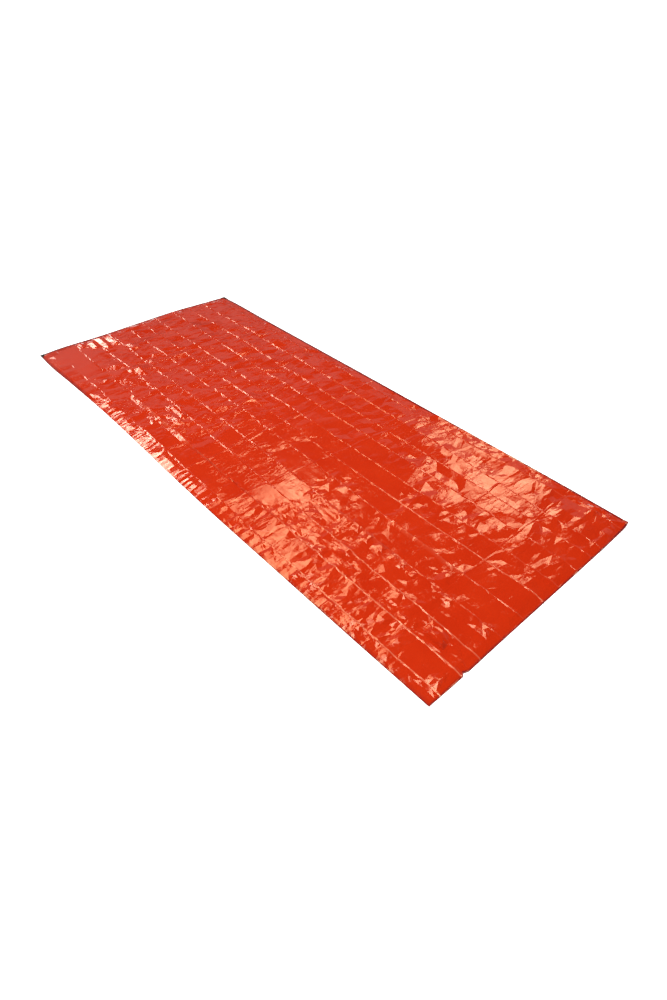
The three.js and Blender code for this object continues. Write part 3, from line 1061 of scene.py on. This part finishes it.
def film_piece(name, points, faces, jolt, rim_drop, seed):
    """One sheet of film, from points that are x, y, z and their marks."""
    mesh = bpy.data.meshes.new(name + "_net")
    mesh.from_pydata((points[:, :3] * MM).tolist(), [], faces.tolist())
    # The crease mark is stress whitening with a painted highlight, and the edge mark is painted shade
    for index, attribute in enumerate(("crumple", "crease", "edge", "wrinkle"), start=3):
        layer = mesh.attributes.new(attribute, "FLOAT", "POINT")
        layer.data.foreach_set("value", points[:, index].astype(np.float32))
    piece = add_object(name, mesh)
    modifier = piece.modifiers.new("crumple", "NODES")
    modifier.node_group = film_nodes
    set_inputs(modifier, {
        "Jolt": jolt * MM,
        "Rim Drop": (0.0, 0.0, -rim_drop * MM),
        "Rim Turn": (-2 * RIM_TURN / WIDTH, -2 * RIM_TURN / LENGTH, 0.0),
        "Seed": seed,
        "Finish": film,
    })
    plain_mesh(piece)
    piece.data.shade_flat()
    return piece


upper_ply = film_piece("upper_ply", fine_points, fine_plates, JOLT, RIM_DROP, seed=21)
print("upper ply:", len(upper_ply.data.polygons), "faces")

# %% The lower ply
LOWER_Z = 0.6
LOWER_DROP = -0.2
lower = points.copy()
lower[:, 2] = LOWER_Z
lower[:, 3:5] = 0
lower_ply = film_piece("lower_ply", lower, plates[:, ::-1], 0.0, LOWER_DROP, seed=22)
print("lower ply:", len(lower_ply.data.polygons), "faces")

# %% [markdown]
# ## The tape on the corners of the foot
# A small black triangle covers each corner of the foot. It is tape, so it lies on the weld like a
# second skin: a thin closed plate with rounded corners. A plane with a Solidify modifier would do, but
# three rings of points give its small bevel at once.

# %% Tape patches
PATCH_WIDTH = 22.0
PATCH_LENGTH = 32.0
PATCH_OVERHANG = 2.0
PATCH_THICKNESS = 0.7
PATCH_ROUND = 2.5
PATCH_GAP = 0.3
PATCH_WALL = 0.6
PATCH_BEVEL = 0.35


def rounded_corners(corners, radius, steps=5):
    """An outline through the corners, each of them rounded in a few steps."""
    outline = []
    for index, corner in enumerate(corners):
        before = (corners[index - 1] - corner).normalized()
        after = (corners[(index + 1) % len(corners)] - corner).normalized()
        for step in range(steps + 1):
            t = step / steps
            outline.append(corner + before * radius * (1 - t) ** 2 + after * radius * t ** 2)
    return outline


def tape_patch(name, side):
    """The tape on one corner of the foot: the left one where side is -1 and the right one where it is 1."""
    edge = float(left_edge(LENGTH / 2) if side < 0 else right_edge(LENGTH / 2))
    top = float(min(foot_edge(edge), foot_edge(edge - side * PATCH_WIDTH))) + PATCH_OVERHANG
    corner = Vector((edge + side * PATCH_OVERHANG, top, 0))
    legs = [Vector((0, 0, 0)), Vector((side * PATCH_WIDTH, 0, 0)), Vector((0, PATCH_LENGTH, 0))]
    corners = [corner - leg for leg in legs]
    if side < 0:
        corners.reverse()
    outline = rounded_corners(corners, PATCH_ROUND)
    base = WELD_TOP + PATCH_GAP
    bevel_from = base + PATCH_THICKNESS * PATCH_WALL
    levels = [(base, 0.0), (bevel_from, 0.0), (base + PATCH_THICKNESS, PATCH_BEVEL)]
    centre = sum(outline, Vector()) / len(outline)
    points = []
    for level, inset in levels:
        for point in outline:
            drawn = point + (centre - point).normalized() * inset
            points.append((drawn.x * MM, drawn.y * MM, level * MM))
    count = len(outline)
    faces = [list(range(count))[::-1], [2 * count + index for index in range(count)]]
    for ring in range(2):
        for index in range(count):
            after = (index + 1) % count
            low = ring * count
            faces.append([low + index, low + after, low + count + after, low + count + index])
    mesh = bpy.data.meshes.new(name)
    mesh.from_pydata(points, [], faces)
    mesh.materials.append(tape)
    return add_object(name, mesh)


tape_left = tape_patch("tape_left", -1)
tape_right = tape_patch("tape_right", 1)
print("tape patches:", tape_left.name, tape_right.name)

# %% [markdown]
# ## Floor, light and camera
# Film shows the room it lies in. A pale wall low behind the bag greys the far end, a dark ceiling
# keeps the near end deep red, and a few soft boxes stand where their mirror images fall on the film.
# The main light hangs overhead, where the camera never sees its mirror image, and it alone lights the
# film's own colour: the small boxes are hidden from diffuse rays, so they only show as reflections.
# The camera itself sees a plain white wall from every side, by way of a Light Path node.

# %% Floor
FLOOR_HALF = 250.0
floor_mesh = bpy.data.meshes.new("floor")
floor_corners = [(-1, -1), (1, -1), (1, 1), (-1, 1)]
floor_places = [(a * FLOOR_HALF, b * FLOOR_HALF, 0) for a, b in floor_corners]
floor_mesh.from_pydata(floor_places, [], [(0, 1, 2, 3)])
floor = add_object("floor", floor_mesh)
floor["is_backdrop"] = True

floor_paint, floor_tree = new_finish("white_floor")
set_sockets(floor_tree, floor_tree.nodes["Principled BSDF"], {
    "Base Color": (0.9, 0.9, 0.9, 1),
    "Roughness": 1.0,
    "Specular IOR Level": 0.0,
    "Emission Color": (1, 1, 1, 1),
    "Emission Strength": 1.0,
})
floor.data.materials.append(floor_paint)
print("floor:", floor.name)

# %% World: tones of the room by elevation
ROOM_TONES = table(
    "elevation tone", (0, 0.08), (14, 0.15), (21, 0.46), (29, 0.44), (31.5, 0.05), (90, 0.03)
)
world = bpy.data.worlds.new("studio")
bpy.context.scene.world = world
world.use_nodes = True
tree = world.node_tree
direction = add_node(tree, "ShaderNodeTexCoord")["Generated"]
upwards = add_node(tree, "ShaderNodeSeparateXYZ", {"Vector": direction})["Z"]
shade = tree.nodes.new("ShaderNodeValToRGB")
set_sockets(tree, shade, {"Fac": upwards})
stops = shade.color_ramp.elements
for index, row in enumerate(ROOM_TONES):
    position = math.sin(math.radians(row["elevation"]))
    stop = stops[index] if index < len(stops) else stops.new(position)
    stop.position = position
    stop.color = (row["tone"], row["tone"], row["tone"], 1)
room = tree.nodes["Background"]
set_sockets(tree, room, {"Color": shade.outputs["Color"]})
wall = add_node(tree, "ShaderNodeBackground", {"Color": (1, 1, 1, 1)})
ray = add_node(tree, "ShaderNodeLightPath")
choice = {"Fac": ray["Is Camera Ray"], 1: room.outputs["Background"], 2: wall["Background"]}
seen = add_node(tree, "ShaderNodeMixShader", choice)
set_sockets(tree, tree.nodes["World Output"], {"Surface": seen["Shader"]})
print("world:", world.name)

# %% Soft boxes, in metres, with the brightness that their faces show
WARM = (1.0, 0.86, 0.6)
PLAIN = (1.0, 0.96, 0.88)
MIDDLE_TONE = 1.9
CORNER_TONE = 0.55
CORNER_REACH = 0.6
SOFT_BOXES = table(
    "name at aim size tone tint",
    ("key", (-0.7, -0.2, 4.6), (0, 0, 0), (2.8, 2.8), 9.8, PLAIN),
    ("right_box", (2.0, 0.26, 1.54), (0.22, -0.66, 0), (0.75, 0.5), 5.2, WARM),
    ("edge_box", (2.05, 0.25, 1.27), (2.05, 0.24, 0), (0.2, 0.85), 5.2, WARM),
    ("rear_box", (0.94, 0.98, 1.71), (0.94, 0.97, 0), (0.43, 0.93), 6.5, WARM),
    ("left_box", (0.27, 0.75, 1.85), (-0.44, -0.6, 0), (0.45, 1.1), 6.5, WARM),
    ("far_box", (-0.2, 2.35, 1.95), (-0.4, 0.3, 0), (0.45, 0.9), 10.0, PLAIN),
    ("far_box_2", (0.05, 3.0, 2.03), (-0.4, 0.5, 0), (0.26, 0.3), 10.0, PLAIN),
    ("far_box_3", (0.28, 3.4, 2.1), (-0.3, 0.7, 0), (0.26, 0.3), 10.0, PLAIN),
    ("foot_box", (0.25, 4.4, 2.2), (-0.24, 0.98, 0), (0.4, 0.5), 11.0, PLAIN),
)


def brighter_middle(lamp):
    """Lets the face of a box fall off from its middle to its corners, as cloth over a lamp does."""
    lamp.use_nodes = True
    tree = lamp.node_tree
    face = add_node(tree, "ShaderNodeNewGeometry")
    terms = {0: face["Parametric"], 1: (0.5, 0.5, 0.0)}
    distance = add_node(tree, "ShaderNodeVectorMath", terms, operation="DISTANCE")["Value"]
    limits = {"Value": distance, "From Max": CORNER_REACH, "To Min": MIDDLE_TONE, "To Max": CORNER_TONE}
    fall = add_node(tree, "ShaderNodeMapRange", limits)
    set_sockets(tree, tree.nodes["Emission"], {"Strength": fall["Result"]})


def soft_box(row):
    lamp = bpy.data.lights.new(row["name"], "AREA")
    brighter_middle(lamp)
    lamp.shape = "RECTANGLE"
    lamp.size, lamp.size_y = row["size"]
    lamp.energy = row["tone"] * math.pi * lamp.size * lamp.size_y
    lamp.color = row["tint"]
    stand = add_object(row["name"], lamp)
    stand.location = row["at"]
    stand.rotation_euler = (Vector(row["aim"]) - Vector(row["at"])).to_track_quat("-Z", "Y").to_euler()
    stand.visible_diffuse = row["name"] == "key"
    return stand


for row in SOFT_BOXES:
    print("soft box:", soft_box(row).name)

# %% Camera
CAMERA_AT = Vector((-1.098, -1.396, 1.208))
CAMERA_AIM = Vector((-0.1505, -0.408, 0.0))
CAMERA_ROLL = math.radians(1.88)
camera_data = bpy.data.cameras.new("camera")
camera_data.lens = 21.46
camera_data.sensor_width = 36.0
camera = add_object("camera", camera_data)
turn = (CAMERA_AIM - CAMERA_AT).to_track_quat("-Z", "Y").to_matrix().to_4x4()
camera.matrix_world = Matrix.Translation(CAMERA_AT) @ turn @ Matrix.Rotation(CAMERA_ROLL, 4, "Z")
bpy.context.scene.camera = camera
bpy.context.scene.view_settings.view_transform = "Standard"
print("camera at", tuple(round(v, 3) for v in camera.location))

# %% [markdown]
# ## Pieces on the body
# Every piece rides on the one body, and the plain solid that it stands for is hidden.

# %% Pieces on the body, in place of the solids
for piece, node, slot in (
    (upper_ply, "bag", "film"),
    (lower_ply, "bag", "film"),
    (tape_left, "corner_patch_left", "tape"),
    (tape_right, "corner_patch_right", "tape"),
):
    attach(piece, "root")
    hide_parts(node)

low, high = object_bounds()
print("box of the film in mm:", [round(v / MM, 1) for v in (*low, *high)])
